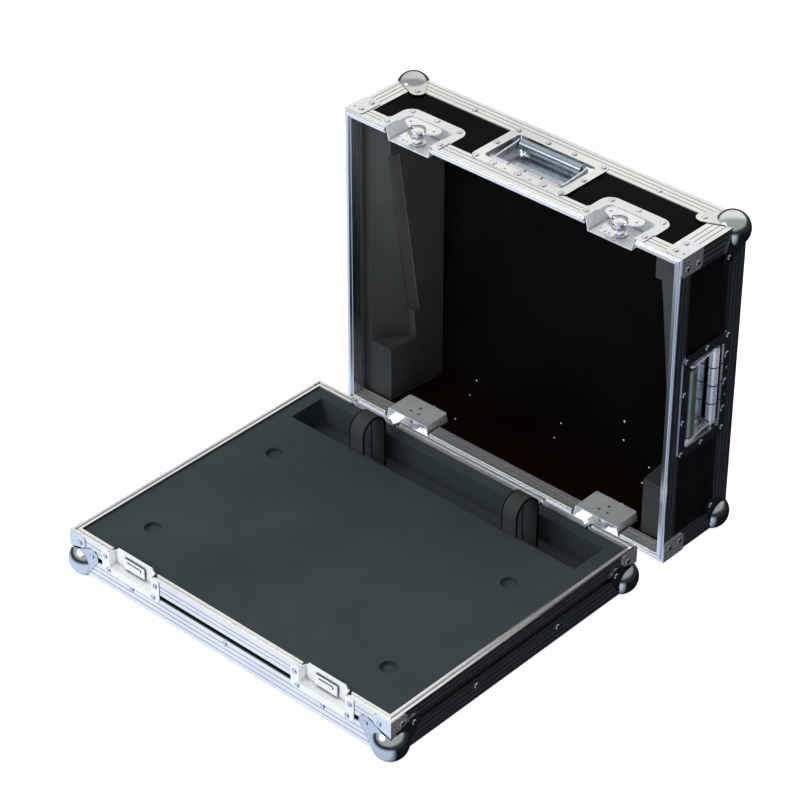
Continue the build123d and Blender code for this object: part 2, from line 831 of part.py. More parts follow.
def bail(frame):
    """Two flat arms joined by the grip's core rod."""
    axis_plane = local_plane(frame, 0, -spindle_offset, spindle_w)
    end_plane = Plane(origin=axis_plane.origin, x_dir=frame.y_dir, z_dir=frame.x_dir)
    arm_span = spindle_offset + grip_offset
    arm_rise = grip_w - spindle_w
    arm_tilt = degrees(atan2(arm_rise, arm_span))
    with BuildPart() as loop:
        for side in (-1, 1):
            with BuildSketch(end_plane.offset(side * arm_u - arm_thickness / 2)):
                Circle(arm_eye_radius)
                with Locations((arm_span / 2, arm_rise / 2)):
                    Rectangle(arm_span, 2 * arm_half_height, rotation=arm_tilt)
                with Locations((arm_span, arm_rise)):
                    Circle(arm_half_height + 1)
                Circle(spindle_core_radius + arm_eye_clearance, mode=Mode.SUBTRACT)
            extrude(amount=arm_thickness)
        with BuildSketch(end_plane):
            with Locations((arm_span, arm_rise)):
                Circle(spindle_core_radius)
        extrude(amount=arm_u, both=True)
    return loop.part


def grip(frame):
    """A thick sleeve on the bail's rod."""
    axis_plane = local_plane(frame, 0, grip_offset, grip_w)
    end_plane = Plane(origin=axis_plane.origin, x_dir=frame.y_dir, z_dir=frame.x_dir)
    with BuildPart() as sleeve:
        with BuildSketch(end_plane):
            Circle(grip_radius)
            Circle(spindle_core_radius, mode=Mode.SUBTRACT)
        extrude(amount=grip_length / 2, both=True)
        end_edges = sleeve.edges().filter_by(GeomType.CIRCLE).group_by(SortBy.RADIUS)[-1]
        fillet(end_edges, 1.5)
    return sleeve.part


save_group([handle_dish(frame) for frame in handle_frames], "handle_dishes")
save_group([spindle(frame) for frame in handle_frames], "handle_spindles")
for frame, handle_name in zip(handle_frames, handle_names):
    save(bail(frame), "handle_bail_" + handle_name)
    save(grip(frame), "handle_grip_" + handle_name)


# Rivets: domed heads on the rails, plates and dishes
rivet_radius = 4.0
rivet_height = 1.7
rivet_dome = 0.9
big_rivet_radius = 5.4
big_rivet_height = 1.2
dot_radius = 2.0
dot_height = 0.8


def rivet_set(face, places, radius, height, seat_w):
    """Domed rivet heads of one size on one face."""
    heads = []
    for place_u, place_v in places:
        seat = local_plane(face, place_u, place_v, seat_w)
        with BuildPart() as head:
            with Locations(seat.location):
                Cylinder(radius, height, align=(Align.CENTER, Align.CENTER, Align.MIN))
            top_edge = head.edges().sort_by(Axis(face.origin, face.z_dir))[-1]
            fillet(top_edge, height * rivet_dome)
        heads.append(head.part)
    return heads


latch_rim_rivets = ((-49.6, 11.5), (49.6, 11.5))
latch_far_rivets = ((-43.9, 58.0), (43.9, 58.0), (0, 61.0))
handle_rivets = ((-76.0, -46.0), (76.0, -46.0), (-76.0, 45.0), (76.0, 45.0), (-77.5, 0), (77.5, 0))
handle_far_rivets = ((-23.0, 46.0), (23.0, 46.0))
handle_big_rivets = ((-44.6, -46.0), (0, -46.0), (44.6, -46.0))
handle_small_rivets = ((-22.4, -48.0), (22.4, -48.0))
brace_rivet_inset = 19.5
brace_dot_inset = 7.0
brace_rivet_first = 12.5
brace_rivet_second = 34.5
tray_brace_rivet_v = 14.0
edge_rivet_inset = 23.0
front_edge_left = -161.0
front_edge_right = 169.0
tray_edge_step = 180.0
tray_side_step = 82.5
tray_edge_rivet_rise = 25.0
tray_side_rivet_rise = 21.5

lid_rivets = []
for frame in latch_frames:
    lid_rivets += rivet_set(frame, latch_rim_rivets, rivet_radius, rivet_height, plate)
    lid_rivets += rivet_set(frame, latch_far_rivets, rivet_radius, rivet_height, plate - rail_wall)
for frame in handle_frames:
    lid_rivets += rivet_set(frame, handle_rivets, rivet_radius, rivet_height, plate)
    lid_rivets += rivet_set(frame, handle_far_rivets, rivet_radius, rivet_height, plate)
    lid_rivets += rivet_set(frame, handle_big_rivets, big_rivet_radius, big_rivet_height, plate)
    lid_rivets += rivet_set(frame, handle_small_rivets, dot_radius, dot_height, plate)
lid_faces = (
    (lid_front_face, half_width),
    (lid_rear_face, half_width),
    (lid_left_face, half_depth),
    (lid_right_face, half_depth),
)
for face, half_length in lid_faces:
    for side in (-1, 1):
        brace_u = side * (half_length - brace_rivet_inset)
        brace_places = ((brace_u, brace_rivet_first), (brace_u, brace_rivet_second))
        lid_rivets += rivet_set(face, brace_places, rivet_radius, rivet_height, plate)
        dot_place = ((side * (half_length - brace_dot_inset), brace_rivet_first),)
        lid_rivets += rivet_set(face, dot_place, dot_radius, dot_height, plate)
        petal_place = ((side * (half_length - petal_side), lid_height - petal_end),)
        lid_rivets += rivet_set(face, petal_place, rivet_radius, rivet_height, plate)
edge_row = lid_height - edge_rivet_inset
for face in (lid_front_face, lid_rear_face):
    lid_rivets += rivet_set(face, ((front_edge_left, edge_row), (front_edge_right, edge_row)), rivet_radius, rivet_height, 0)
back_face = Plane(origin=(0, lid_back_y, lid_mid_z), x_dir=(-1, 0, 0), z_dir=(0, 1, 0))
back_petals = [
    (x_side * (half_width - petal_back), z_side * (half_depth - petal_back))
    for x_side in (-1, 1)
    for z_side in (-1, 1)
]
lid_rivets += rivet_set(back_face, back_petals, rivet_radius, rivet_height, plate)
save_group(lid_rivets, "lid_rivets")

tray_rivets = []
for frame in keeper_frames:
    tray_rivets += rivet_set(frame, ((-49.0, 10.7), (49.0, 10.7), (-44.3, 31.8), (44.3, 31.8)), rivet_radius, rivet_height, plate)
tray_faces = (
    (tray_front_face, half_width, tray_edge_step, tray_edge_rivet_rise),
    (tray_rear_face, half_width, tray_edge_step, tray_edge_rivet_rise),
    (tray_left_face, half_depth, tray_side_step, tray_side_rivet_rise),
    (tray_right_face, half_depth, tray_side_step, tray_side_rivet_rise),
)
for face, half_length, step, rise in tray_faces:
    row_v = tray_height - rise
    row_places = [(-step, row_v), (step, row_v)]
    if half_length == half_width:
        row_places = [(0, row_v)]
    tray_rivets += rivet_set(face, row_places, rivet_radius, rivet_height, 0)
    if half_length == half_width:
        dish_row = ((-step, row_v + rivet_radius), (step, row_v + rivet_radius))
        tray_rivets += rivet_set(face, dish_row, rivet_radius, rivet_height, 0)
    for side in (-1, 1):
        brace_place = ((side * (half_length - brace_rivet_inset), tray_brace_rivet_v),)
        tray_rivets += rivet_set(face, brace_place, rivet_radius, rivet_height, plate)
        petal_place = ((side * (half_length - petal_side), tray_height - petal_end),)
        tray_rivets += rivet_set(face, petal_place, rivet_radius, rivet_height, plate)
save_group(tray_rivets, "tray_rivets")

# Foam bed of the tray with foot recesses and the strap trough
foam_top_z = tray_rim_z - foam_below_rim
foam_bottom_z = under_z + wall_depth
foam_half_width = half_width - rim_land - fit_clearance
foam_half_depth = half_depth - rim_land - fit_clearance
with BuildPart() as console_foam:
    with BuildSketch(Plane.XY.offset(foam_bottom_z)):
        with Locations((0, tray_mid_y)):
            Rectangle(2 * foam_half_width, 2 * foam_half_depth)
    extrude(amount=foam_top_z - foam_bottom_z)
    with BuildSketch(Plane.XY.offset(foam_top_z)):
        with Locations((0, tray_front_y + foot_centre_y)):
            with GridLocations(foot_spacing_x, foot_spacing_y, 2, 2):
                Circle(foot_radius)
    extrude(amount=-foot_depth, mode=Mode.SUBTRACT)
    with BuildSketch(Plane.XY.offset(foam_top_z)):
        with Locations((0, tray_front_y + (trough_front + trough_rear) / 2)):
            Rectangle(2 * trough_half_width, trough_rear - trough_front)
    extrude(amount=-trough_depth, mode=Mode.SUBTRACT)
save(console_foam.part, "console_foam")

# Strap loops that rise from the trough
strap_width = 29.0
strap_thickness = 2.6
strap_rise = 51.0
strap_leg_spacing = 48.0
strap_front_y = tray_front_y + 404.0
strap_left_x = -139.0
strap_right_x = 148.0


def strap(centre_x):
    centre_y = strap_front_y + strap_leg_spacing / 2
    outer_radius = strap_leg_spacing / 2
    foot_z = foam_top_z - trough_depth
    with BuildPart() as loop:
        with BuildSketch(Plane(origin=(centre_x, centre_y, 0), x_dir=(0, 1, 0), z_dir=(1, 0, 0))):
            arch_z = foam_top_z + strap_rise - outer_radius
            with Locations((0, arch_z)):
                Circle(outer_radius)
            with Locations((0, (arch_z + foot_z) / 2)):
                Rectangle(2 * outer_radius, arch_z - foot_z)
            with Locations((0, arch_z)):
                Circle(outer_radius - strap_thickness, mode=Mode.SUBTRACT)
            with Locations((0, (arch_z + foot_z) / 2)):
                Rectangle(2 * (outer_radius - strap_thickness), arch_z - foot_z, mode=Mode.SUBTRACT)
        extrude(amount=strap_width / 2, both=True)
    return loop.part


save(strap(strap_left_x), "strap_left")
save(strap(strap_right_x), "strap_right")

# Foam cheeks at both sides of the lid, cut back to hold the console's sides
cheek_front_v = 28.0
cheek_back_v = lid_wall_end
cheek_front_x = 61.5
cheek_back_x = 70.5
cheek_bottom_h = wall_depth
cheek_top_h = case_depth - wall_depth
cheek_side_x = rim_land + fit_clearance
cut_low_h = 99.5
cut_step_h = 114.0
cut_mid_h = 146.0
cut_high_h = 430.0
floor_front_x = 22.0
floor_ledge_x = 54.0
ledge_low_v = 78.0
ledge_mid_v = 75.0
ledge_high_v = 31.0
shallow_low_v = 85.0
shallow_high_v = 44.6
shallow_start_h = 147.0
shallow_end_h = 427.0
shallow_floor_near = 52.0
shallow_floor_far = 62.0
cut_outside_x = 90.0


def cheek_frame(height, side):
    """A horizontal frame at a height above the lid's underside: x inwards from the side, y away from the rim."""
    z_dir = (0, 0, 1) if side < 0 else (0, 0, -1)
    return Plane(origin=(side * half_width, lid_rim_y, under_z + height), x_dir=(-side, 0, 0), z_dir=z_dir)


def cheek_section(height, side, points):
    with BuildSketch(cheek_frame(height, side)) as section:
        with BuildLine():
            Polyline(*points, close=True)
        make_face()
    return section.sketch


def ruled_cut(side, low_h, low_points, high_h, high_points):
    """A block between two four-sided sections at two heights."""
    low = cheek_section(low_h, side, low_points)
    high = cheek_section(high_h, side, high_points)
    with BuildPart() as block:
        loft(sections=[low, high], ruled=True)
    return block.part


def ledge_points(ledge_v):
    return [
        (floor_front_x, cheek_front_v - ball_inset),
        (floor_front_x, cheek_front_v),
        (floor_ledge_x, ledge_v),
        (cut_outside_x, ledge_v),
        (cut_outside_x, cheek_front_v - ball_inset),
    ]


def shallow_points(near_v, far_v):
    return [
        (shallow_floor_near, near_v),
        (shallow_floor_far, far_v),
        (cut_outside_x, far_v),
        (cut_outside_x, near_v),
    ]


def cheek(side):
    with BuildPart() as block:
        with BuildSketch(cheek_frame(cheek_bottom_h, side)):
            with BuildLine():
                Polyline(
                    (wall_depth, rim_inner_leg + fit_clearance),
                    (wall_depth, cheek_back_v),
                    (cheek_back_x, cheek_back_v),
                    (cheek_front_x, cheek_front_v),
                    (cheek_side_x + fit_clearance, cheek_front_v),
                    (cheek_side_x + fit_clearance, rim_inner_leg + fit_clearance),
                    close=True,
                )
            make_face()
        rise = cheek_top_h - cheek_bottom_h
        extrude(amount=rise if side < 0 else -rise)
        add(
            ruled_cut(side, cut_low_h, ledge_points(ledge_low_v), cut_mid_h, ledge_points(ledge_mid_v)),
            mode=Mode.SUBTRACT,
        )
        add(
            ruled_cut(side, cut_mid_h, ledge_points(ledge_mid_v), cut_high_h, ledge_points(ledge_high_v)),
            mode=Mode.SUBTRACT,
        )
        add(
            ruled_cut(
                side,
                shallow_start_h,
                shallow_points(ledge_mid_v - 1, shallow_low_v),
                shallow_end_h,
                shallow_points(ledge_high_v - 1, shallow_high_v),
            ),
            mode=Mode.SUBTRACT,
        )
        with Locations((side * half_width, lid_rim_y + handle_v, lid_mid_z)):
            Box(
                2 * (handle_depth + 2 * plate + fit_clearance),
                handle_recess_width + 4 * plate,
                handle_recess_length + 4 * plate,
                mode=Mode.SUBTRACT,
            )
    return block.part


save(cheek(-1), "lid_foam_left")
save(cheek(1), "lid_foam_right")
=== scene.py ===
import bmesh
import bpy
import numpy as np
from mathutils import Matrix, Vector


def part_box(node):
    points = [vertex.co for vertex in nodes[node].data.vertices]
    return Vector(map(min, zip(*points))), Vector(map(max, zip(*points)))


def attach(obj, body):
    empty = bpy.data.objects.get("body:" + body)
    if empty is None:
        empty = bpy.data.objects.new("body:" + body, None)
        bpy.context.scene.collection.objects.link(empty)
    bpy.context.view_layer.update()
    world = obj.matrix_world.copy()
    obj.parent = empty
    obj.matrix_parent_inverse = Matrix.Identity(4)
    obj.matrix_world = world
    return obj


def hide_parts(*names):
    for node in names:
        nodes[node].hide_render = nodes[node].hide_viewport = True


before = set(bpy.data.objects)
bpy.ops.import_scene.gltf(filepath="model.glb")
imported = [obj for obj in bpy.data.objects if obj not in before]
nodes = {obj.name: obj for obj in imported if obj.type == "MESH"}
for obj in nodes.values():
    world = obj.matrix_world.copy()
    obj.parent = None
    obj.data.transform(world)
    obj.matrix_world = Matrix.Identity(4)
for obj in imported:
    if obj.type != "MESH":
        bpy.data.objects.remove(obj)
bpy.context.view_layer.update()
scene = bpy.context.scene


# Boards
# Ten boards of plywood close the tray and the lid. They are faced with a finely pebbled black
# laminate, and the rails hold them by their edges. The lid's lower board is warmer inside.
def wire(tree, *pairs):
    """Join each output socket to the input socket that is paired with it."""
    for source, target in pairs:
        tree.links.new(source, target)


def colour_run(tree, low=(0, 0, 0), high=(0, 0, 0)):
    """A node that runs from the low colour to the high one with its factor. A link may replace either."""
    run = tree.nodes.new("ShaderNodeMix")
    run.data_type = "RGBA"
    run.inputs["A"].default_value = (*low, 1)
    run.inputs["B"].default_value = (*high, 1)
    return run


def share(tree, low, high):
    """A node that goes from 0 to 1 while its value goes from low to high."""
    part = tree.nodes.new("ShaderNodeMapRange")
    part.inputs["From Min"].default_value = low
    part.inputs["From Max"].default_value = high
    return part


def raised(tree, strength, depth):
    """A node that tilts the normal as if its height stood up to depth metres proud."""
    relief = tree.nodes.new("ShaderNodeBump")
    relief.inputs["Strength"].default_value = strength
    relief.inputs["Distance"].default_value = depth
    return relief


grain = bpy.data.node_groups.new("fine_grain", "ShaderNodeTree")
grain.interface.new_socket("Size", in_out="INPUT", socket_type="NodeSocketFloat")
grain.interface.new_socket("Tone", in_out="OUTPUT", socket_type="NodeSocketFloat")
grain.interface.new_socket("Relief", in_out="OUTPUT", socket_type="NodeSocketFloat")
grain_in = grain.nodes.new("NodeGroupInput")
grain_out = grain.nodes.new("NodeGroupOutput")
grain_place = grain.nodes.new("ShaderNodeTexCoord")
grain_fine = grain.nodes.new("ShaderNodeTexNoise")
grain_fine.inputs["Detail"].default_value = 4.0
grain_wide = grain.nodes.new("ShaderNodeTexNoise")
grain_wide.inputs["Scale"].default_value = 7.0
grain_both = grain.nodes.new("ShaderNodeMath")
grain_both.operation = "MULTIPLY"
grain_tone = share(grain, 0.12, 0.38)
wire(
    grain,
    (grain_place.outputs["Object"], grain_fine.inputs["Vector"]),
    (grain_place.outputs["Object"], grain_wide.inputs["Vector"]),
    (grain_in.outputs["Size"], grain_fine.inputs["Scale"]),
    (grain_fine.outputs["Fac"], grain_both.inputs[0]),
    (grain_wide.outputs["Fac"], grain_both.inputs[1]),
    (grain_both.outputs["Value"], grain_tone.inputs["Value"]),
    (grain_tone.outputs["Result"], grain_out.inputs["Tone"]),
    (grain_fine.outputs["Fac"], grain_out.inputs["Relief"]),
)


def dull(name, deep, pale, size, roughness, strength, depth, gloss, metallic=0):
    """A dull finish: its colour runs from deep to pale with the grain's tone, and the grain's relief
    tilts its normal."""
    finish = bpy.data.materials.new(name)
    finish.use_nodes = True
    tree = finish.node_tree
    surface = tree.nodes["Principled BSDF"]
    surface.inputs["Roughness"].default_value = roughness
    surface.inputs["Specular IOR Level"].default_value = gloss
    surface.inputs["Metallic"].default_value = metallic
    marks = tree.nodes.new("ShaderNodeGroup")
    marks.node_tree = grain
    marks.inputs["Size"].default_value = size
    colour = colour_run(tree, deep, pale)
    relief = raised(tree, strength, depth)
    wire(
        tree,
        (marks.outputs["Tone"], colour.inputs["Factor"]),
        (colour.outputs["Result"], surface.inputs["Base Color"]),
        (marks.outputs["Relief"], relief.inputs["Height"]),
        (relief.outputs["Normal"], surface.inputs["Normal"]),
    )
    return finish


def dress(finish, *members):
    """Give CAD nodes one finish."""
    for member in members:
        nodes[member].data.materials.clear()
        nodes[member].data.materials.append(finish)


pebble = {"size": 900, "roughness": 0.6, "strength": 0.4, "depth": 0.0003, "gloss": 0.04}
laminate = dull("laminate", deep=(0.0012, 0.001, 0.001), pale=(0.005, 0.0045, 0.0045), **pebble)
warm_laminate = dull(
    "warm_laminate", deep=(0.0045, 0.0008, 0.0006), pale=(0.011, 0.0022, 0.0018), **pebble
)
for member in nodes:
    if member.endswith(("_panel", "_wall")):
        dress(laminate, member)
lower_board = nodes["lid_rear_wall"].data
lower_board.materials.append(warm_laminate)
facing_in = 0.5
for face in lower_board.polygons:
    face.material_index = int(face.normal.z > facing_in)


# Rails
# Satin aluminium is pushed through a die, so fine lines run along every rail. Painted shade darkens
# the grooves and where two pieces meet. Rails along the width, depth and height have their own lines.
drawn = bpy.data.node_groups.new("drawn_lines", "ShaderNodeTree")
drawn.interface.new_socket("Stretch", in_out="INPUT", socket_type="NodeSocketVector")
drawn.interface.new_socket("Tone", in_out="OUTPUT", socket_type="NodeSocketFloat")
drawn.interface.new_socket("Lines", in_out="OUTPUT", socket_type="NodeSocketFloat")
drawn_in = drawn.nodes.new("NodeGroupInput")
drawn_out = drawn.nodes.new("NodeGroupOutput")
drawn_place = drawn.nodes.new("ShaderNodeTexCoord")
drawn_stretch = drawn.nodes.new("ShaderNodeVectorMath")
drawn_stretch.operation = "MULTIPLY"
drawn_lines = drawn.nodes.new("ShaderNodeTexNoise")
drawn_lines.inputs["Scale"].default_value = 1.0
drawn_lines.inputs["Detail"].default_value = 3.0
drawn_tone = drawn.nodes.new("ShaderNodeTexNoise")
drawn_tone.inputs["Scale"].default_value = 9.0
drawn_share = share(drawn, 0.3, 0.6)
wire(
    drawn,
    (drawn_place.outputs["Object"], drawn_stretch.inputs[0]),
    (drawn_in.outputs["Stretch"], drawn_stretch.inputs[1]),
    (drawn_stretch.outputs["Vector"], drawn_lines.inputs["Vector"]),
    (drawn_place.outputs["Object"], drawn_tone.inputs["Vector"]),
    (drawn_tone.outputs["Fac"], drawn_share.inputs["Value"]),
    (drawn_share.outputs["Result"], drawn_out.inputs["Tone"]),
    (drawn_lines.outputs["Fac"], drawn_out.inputs["Lines"]),
)

# Painted shade: ambient occlusion darkens the base colour near crevices and where pieces meet.
crevice = bpy.data.node_groups.new("crevice_shade", "ShaderNodeTree")
crevice.interface.new_socket("Reach", in_out="INPUT", socket_type="NodeSocketFloat")
crevice.interface.new_socket("Unshaded", in_out="OUTPUT", socket_type="NodeSocketFloat")
crevice_in = crevice.nodes.new("NodeGroupInput")
crevice_out = crevice.nodes.new("NodeGroupOutput")
crevice_open = crevice.nodes.new("ShaderNodeAmbientOcclusion")
crevice_open.samples = 16
crevice_share = share(crevice, 0.35, 0.85)
wire(
    crevice,
    (crevice_in.outputs["Reach"], crevice_open.inputs["Distance"]),
    (crevice_open.outputs["AO"], crevice_share.inputs["Value"]),
    (crevice_share.outputs["Result"], crevice_out.inputs["Unshaded"]),
)
# The colour of the painted shade in crevices.
painted_shade_colour = (0.04, 0.045, 0.05)


def metal(name, deep, pale, stretch, shine, spread, lift, reach, metallic):
    """A metal: its colour runs from deep to pale with the slow tone and takes painted shade within reach
    of a crevice, its roughness rises from shine by spread with the drawn lines, and they tilt its normal."""
    finish = bpy.data.materials.new(name)
    finish.use_nodes = True
    tree = finish.node_tree
    surface = tree.nodes["Principled BSDF"]
    surface.inputs["Metallic"].default_value = metallic
    lines = tree.nodes.new("ShaderNodeGroup")
    lines.node_tree = drawn
    lines.inputs["Stretch"].default_value = stretch
    # Painted shade: the occlusion group pulls the base colour towards the shade colour near crevices.
    occlusion_shade = tree.nodes.new("ShaderNodeGroup")
    occlusion_shade.node_tree = crevice
    occlusion_shade.inputs["Reach"].default_value = reach
    toned = colour_run(tree, deep, pale)
    shaded_tone = colour_run(tree, painted_shade_colour)
    gloss = share(tree, 0.3, 0.7)
    gloss.inputs["To Min"].default_value = shine
    gloss.inputs["To Max"].default_value = shine + spread
    relief = raised(tree, strength=lift, depth=0.0003)
    wire(
        tree,
        (lines.outputs["Tone"], toned.inputs["Factor"]),
        (toned.outputs["Result"], shaded_tone.inputs["B"]),
        (occlusion_shade.outputs["Unshaded"], shaded_tone.inputs["Factor"]),
        (shaded_tone.outputs["Result"], surface.inputs["Base Color"]),
        (lines.outputs["Lines"], gloss.inputs["Value"]),
        (gloss.outputs["Result"], surface.inputs["Roughness"]),
        (lines.outputs["Lines"], relief.inputs["Height"]),
        (relief.outputs["Normal"], surface.inputs["Normal"]),
    )
    return finish


along_rail = 3
across_rail = 500
satin = {
    "deep": (0.84, 0.85, 0.86),
    "pale": (0.94, 0.94, 0.94),
    "shine": 0.22,
    "spread": 0.12,
    "reach": 0.0016,
}
width_rail = metal(
    "width_rail", stretch=(along_rail, across_rail, across_rail), lift=0.12, metallic=0.65, **satin
)
depth_rail = metal(
    "depth_rail", stretch=(across_rail, along_rail, across_rail), lift=0.2, metallic=1.0, **satin
)
height_rail = metal(
    "height_rail", stretch=(across_rail, across_rail, along_rail), lift=0.2, metallic=1.0, **satin
)
dress(width_rail, "tray_rim_front", "tray_rim_rear", "tray_edge_front", "tray_edge_rear")
dress(width_rail, "lid_rim_front", "lid_rim_rear", "lid_edge_front", "lid_edge_rear")
dress(depth_rail, "tray_rim_sides", "tray_edge_sides", "lid_corner_angles")
dress(height_rail, "lid_rim_sides", "lid_edge_sides")


# Braces, dishes and keepers
# Sheet steel is pressed to shape, plated with zinc, a little bluer than the rails, and riveted over
# them. The dishes of the latches and keepers are paler and duller, and those of the handles shinier.
# How far painted shade reaches from crevices on the plates, rivets and fittings.
plate_reach = 0.0045
brushed_every_way = (60, 60, 60)
brace_plate = metal(
    "brace_plate",
    deep=(0.78, 0.8, 0.84),
    pale=(0.92, 0.93, 0.95),
    stretch=brushed_every_way,
    shine=0.2,
    spread=0.14,
    lift=0.05,
    reach=plate_reach,
    metallic=0.9,
)
latch_dish_plate = metal(
    "latch_dish_plate",
    deep=(0.86, 0.88, 0.9),
    pale=(0.94, 0.95, 0.96),
    stretch=brushed_every_way,
    shine=0.2,
    spread=0.14,
    lift=0.03,
    # A wider reach paints deeper shade into the latch dish recesses.
    reach=0.007,
    metallic=0.3,
)
handle_dish_plate = metal(
    "handle_dish_plate",
    deep=(0.7, 0.72, 0.75),
    pale=(0.92, 0.92, 0.92),
    stretch=brushed_every_way,
    shine=0.14,
    spread=0.12,
    lift=0.05,
    reach=0.004,
    metallic=1.0,
)
dress(brace_plate, "lid_corner_braces", "tray_corner_braces")
dress(latch_dish_plate, "keeper_dishes", "latch_dishes", "keepers")
dress(handle_dish_plate, "handle_dishes")


# Ball corners
# A ball is pressed from steel sheet over each outer corner, with three riveted legs. It is smoother
# than the flat plates and mirrors the room, with faint rub marks.
ball_steel = metal(
    "ball_steel",
    deep=(0.5, 0.52, 0.51),
    pale=(0.8, 0.82, 0.81),
    stretch=(40, 40, 40),
    shine=0.08,
    spread=0.08,
    lift=0.06,
    reach=plate_reach,
    metallic=1.0,
)
dress(ball_steel, "lid_ball_corners", "tray_ball_corners", "tray_rear_ball_caps")


# Latches
# Each latch has a domed post, a heart-shaped wing on its pin and a slotted hook, all plated bright,
# with small scratches from use.
latch_steel = metal(
    "latch_steel",
    deep=(0.74, 0.77, 0.82),
    pale=(0.93, 0.94, 0.96),
    stretch=(150, 150, 150),
    shine=0.16,
    spread=0.18,
    lift=0.08,
    reach=plate_reach,
    metallic=0.85,
)
for member in nodes:
    if member.startswith(("latch_hook", "latch_turner", "latch_wing")):
        dress(latch_steel, member)


# Handles
# A steel bail swings on a sleeved spindle and carries a thick grip. The front grip is a blue-grey
# satin tube and those at the sides are dark grey-green.
bail_steel = metal(
    "bail_steel",
    deep=(0.6, 0.62, 0.72),
    pale=(0.86, 0.87, 0.95),
    stretch=(120, 120, 120),
    shine=0.22,
    spread=0.18,
    lift=0.08,
    reach=plate_reach,
    metallic=0.6,
)
grip_grain = {"size": 500, "strength": 0.15, "depth": 0.0002, "gloss": 0.5}
front_grip = dull(
    "front_grip",
    deep=(0.3, 0.37, 0.43),
    pale=(0.42, 0.5, 0.57),
    roughness=0.26,
    metallic=0.85,
    **grip_grain,
)
side_grip = dull(
    "side_grip",
    deep=(0.17, 0.2, 0.185),
    pale=(0.24, 0.28, 0.26),
    roughness=0.33,
    metallic=0.8,
    **grip_grain,
)
dress(bail_steel, "handle_spindles", "handle_bail_front", "handle_bail_left", "handle_bail_right")
dress(front_grip, "handle_grip_front")
dress(side_grip, "handle_grip_left", "handle_grip_right")


# Rivets
# Domed steel rivets hold the plates. The shanks of those at the lid's lower latches, its edge rail
# and its back show inside as small bright tails, and three dark studs hold each lower latch's post.
rivet_steel = metal(
    "rivet_steel",
    deep=(0.55, 0.58, 0.64),
    pale=(0.84, 0.86, 0.9),
    stretch=(200, 200, 200),
    shine=0.18,
    spread=0.14,
    lift=0.08,
    reach=plate_reach,
    metallic=1.0,
)
stud_steel = dull(
    "stud_steel",
    deep=(0.17, 0.2, 0.185),
    pale=(0.24, 0.28, 0.26),
    roughness=0.33,
    metallic=0.8,
    **grip_grain,
)
dress(rivet_steel, "lid_rivets", "tray_rivets")


def smooth_mesh(name, points, faces):
    """A smooth mesh of rows of points and lists of their numbers, with all its faces turned outwards."""
    mesh = bpy.data.meshes.new(name)
    mesh.from_pydata(points.reshape(-1, 3).tolist(), [], faces)
    shell = bmesh.new()
    shell.from_mesh(mesh)
    bmesh.ops.recalc_face_normals(shell, faces=shell.faces)
    shell.to_mesh(mesh)
    shell.free()
    mesh.shade_smooth()
    return mesh


def fit(name, mesh, finish, body):
    """Put a mesh into the scene as a piece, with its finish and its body."""
    mesh.materials.append(finish)
    piece = bpy.data.objects.new(name, mesh)
    scene.collection.objects.link(piece)
    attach(piece, body)
    return piece


def ring_faces(rings, sides):
    """Four-sided faces between each ring of points and the next; a ring's last point meets its first."""
    start = np.arange(rings - 1)[:, None] * sides
    side = np.arange(sides)
    following = (side + 1) % sides
    corners = [start + side, start + following, start + sides + following, start + sides + side]
    return np.stack(corners, axis=-1).reshape(-1, 4)


def tail_places(across, away, fixed, axis):
    """Places on a plane: across gives x, away gives the other free way, and fixed is the plane's place
    along axis, which is 1 for y and 2 for z."""
    across, away = np.broadcast_arrays(across, away)
    places = np.empty((across.size, 3))
    places[:, 0] = across.ravel()
    places[:, 3 - axis] = away.ravel()
    places[:, axis] = fixed
    return places


dome_sides = 12
dome_rings = 3


def tail_domes(name, places, axis, way, radius, height, finish):
    """Domes on a plane: a ring at the climb angle a has the radius times cos(a) and the height times
    sin(a), and the top is closed at the full height. They stand to the side that way gives, 1 or -1."""
    turns = np.linspace(0, 2 * np.pi, dome_sides, endpoint=False)
    climbs = np.linspace(0, np.pi / 2, dome_rings, endpoint=False)
    ring = np.cos(climbs)[:, None] * radius
    dome = np.zeros((dome_rings * dome_sides + 1, 3))
    dome[:-1, 0] = (ring * np.cos(turns)).ravel()
    dome[:-1, 3 - axis] = (ring * np.sin(turns)).ravel()
    dome[:-1, axis] = way * height * np.repeat(np.sin(climbs), dome_sides)
    dome[-1, axis] = way * height
    side = np.arange(dome_sides)
    following = (side + 1) % dome_sides
    last = (dome_rings - 1) * dome_sides
    top = np.full(dome_sides, len(dome) - 1)
    tops = np.stack([last + side, last + following, top], axis=-1)
    offsets = np.arange(len(places))[:, None, None] * len(dome)
    faces = (ring_faces(dome_rings, dome_sides) + offsets).reshape(-1, 4).tolist()
    faces += (tops + offsets).reshape(-1, 3).tolist()
    mesh = smooth_mesh(name, places[:, None, :] + dome, faces)
    fit(name, mesh, finish, "lid")


wall_low, wall_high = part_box("lid_rear_wall")
back_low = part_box("lid_top_panel")[0]
dish_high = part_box("latch_dishes")[1]
rail_thickness = 0.002
lid_rim_y = wall_low.y - rail_thickness
lid_under_z = wall_low.z - rail_thickness
dish_width = 0.1124
latch_middles = np.array([-1, 1]) * (dish_high.x - dish_width / 2)

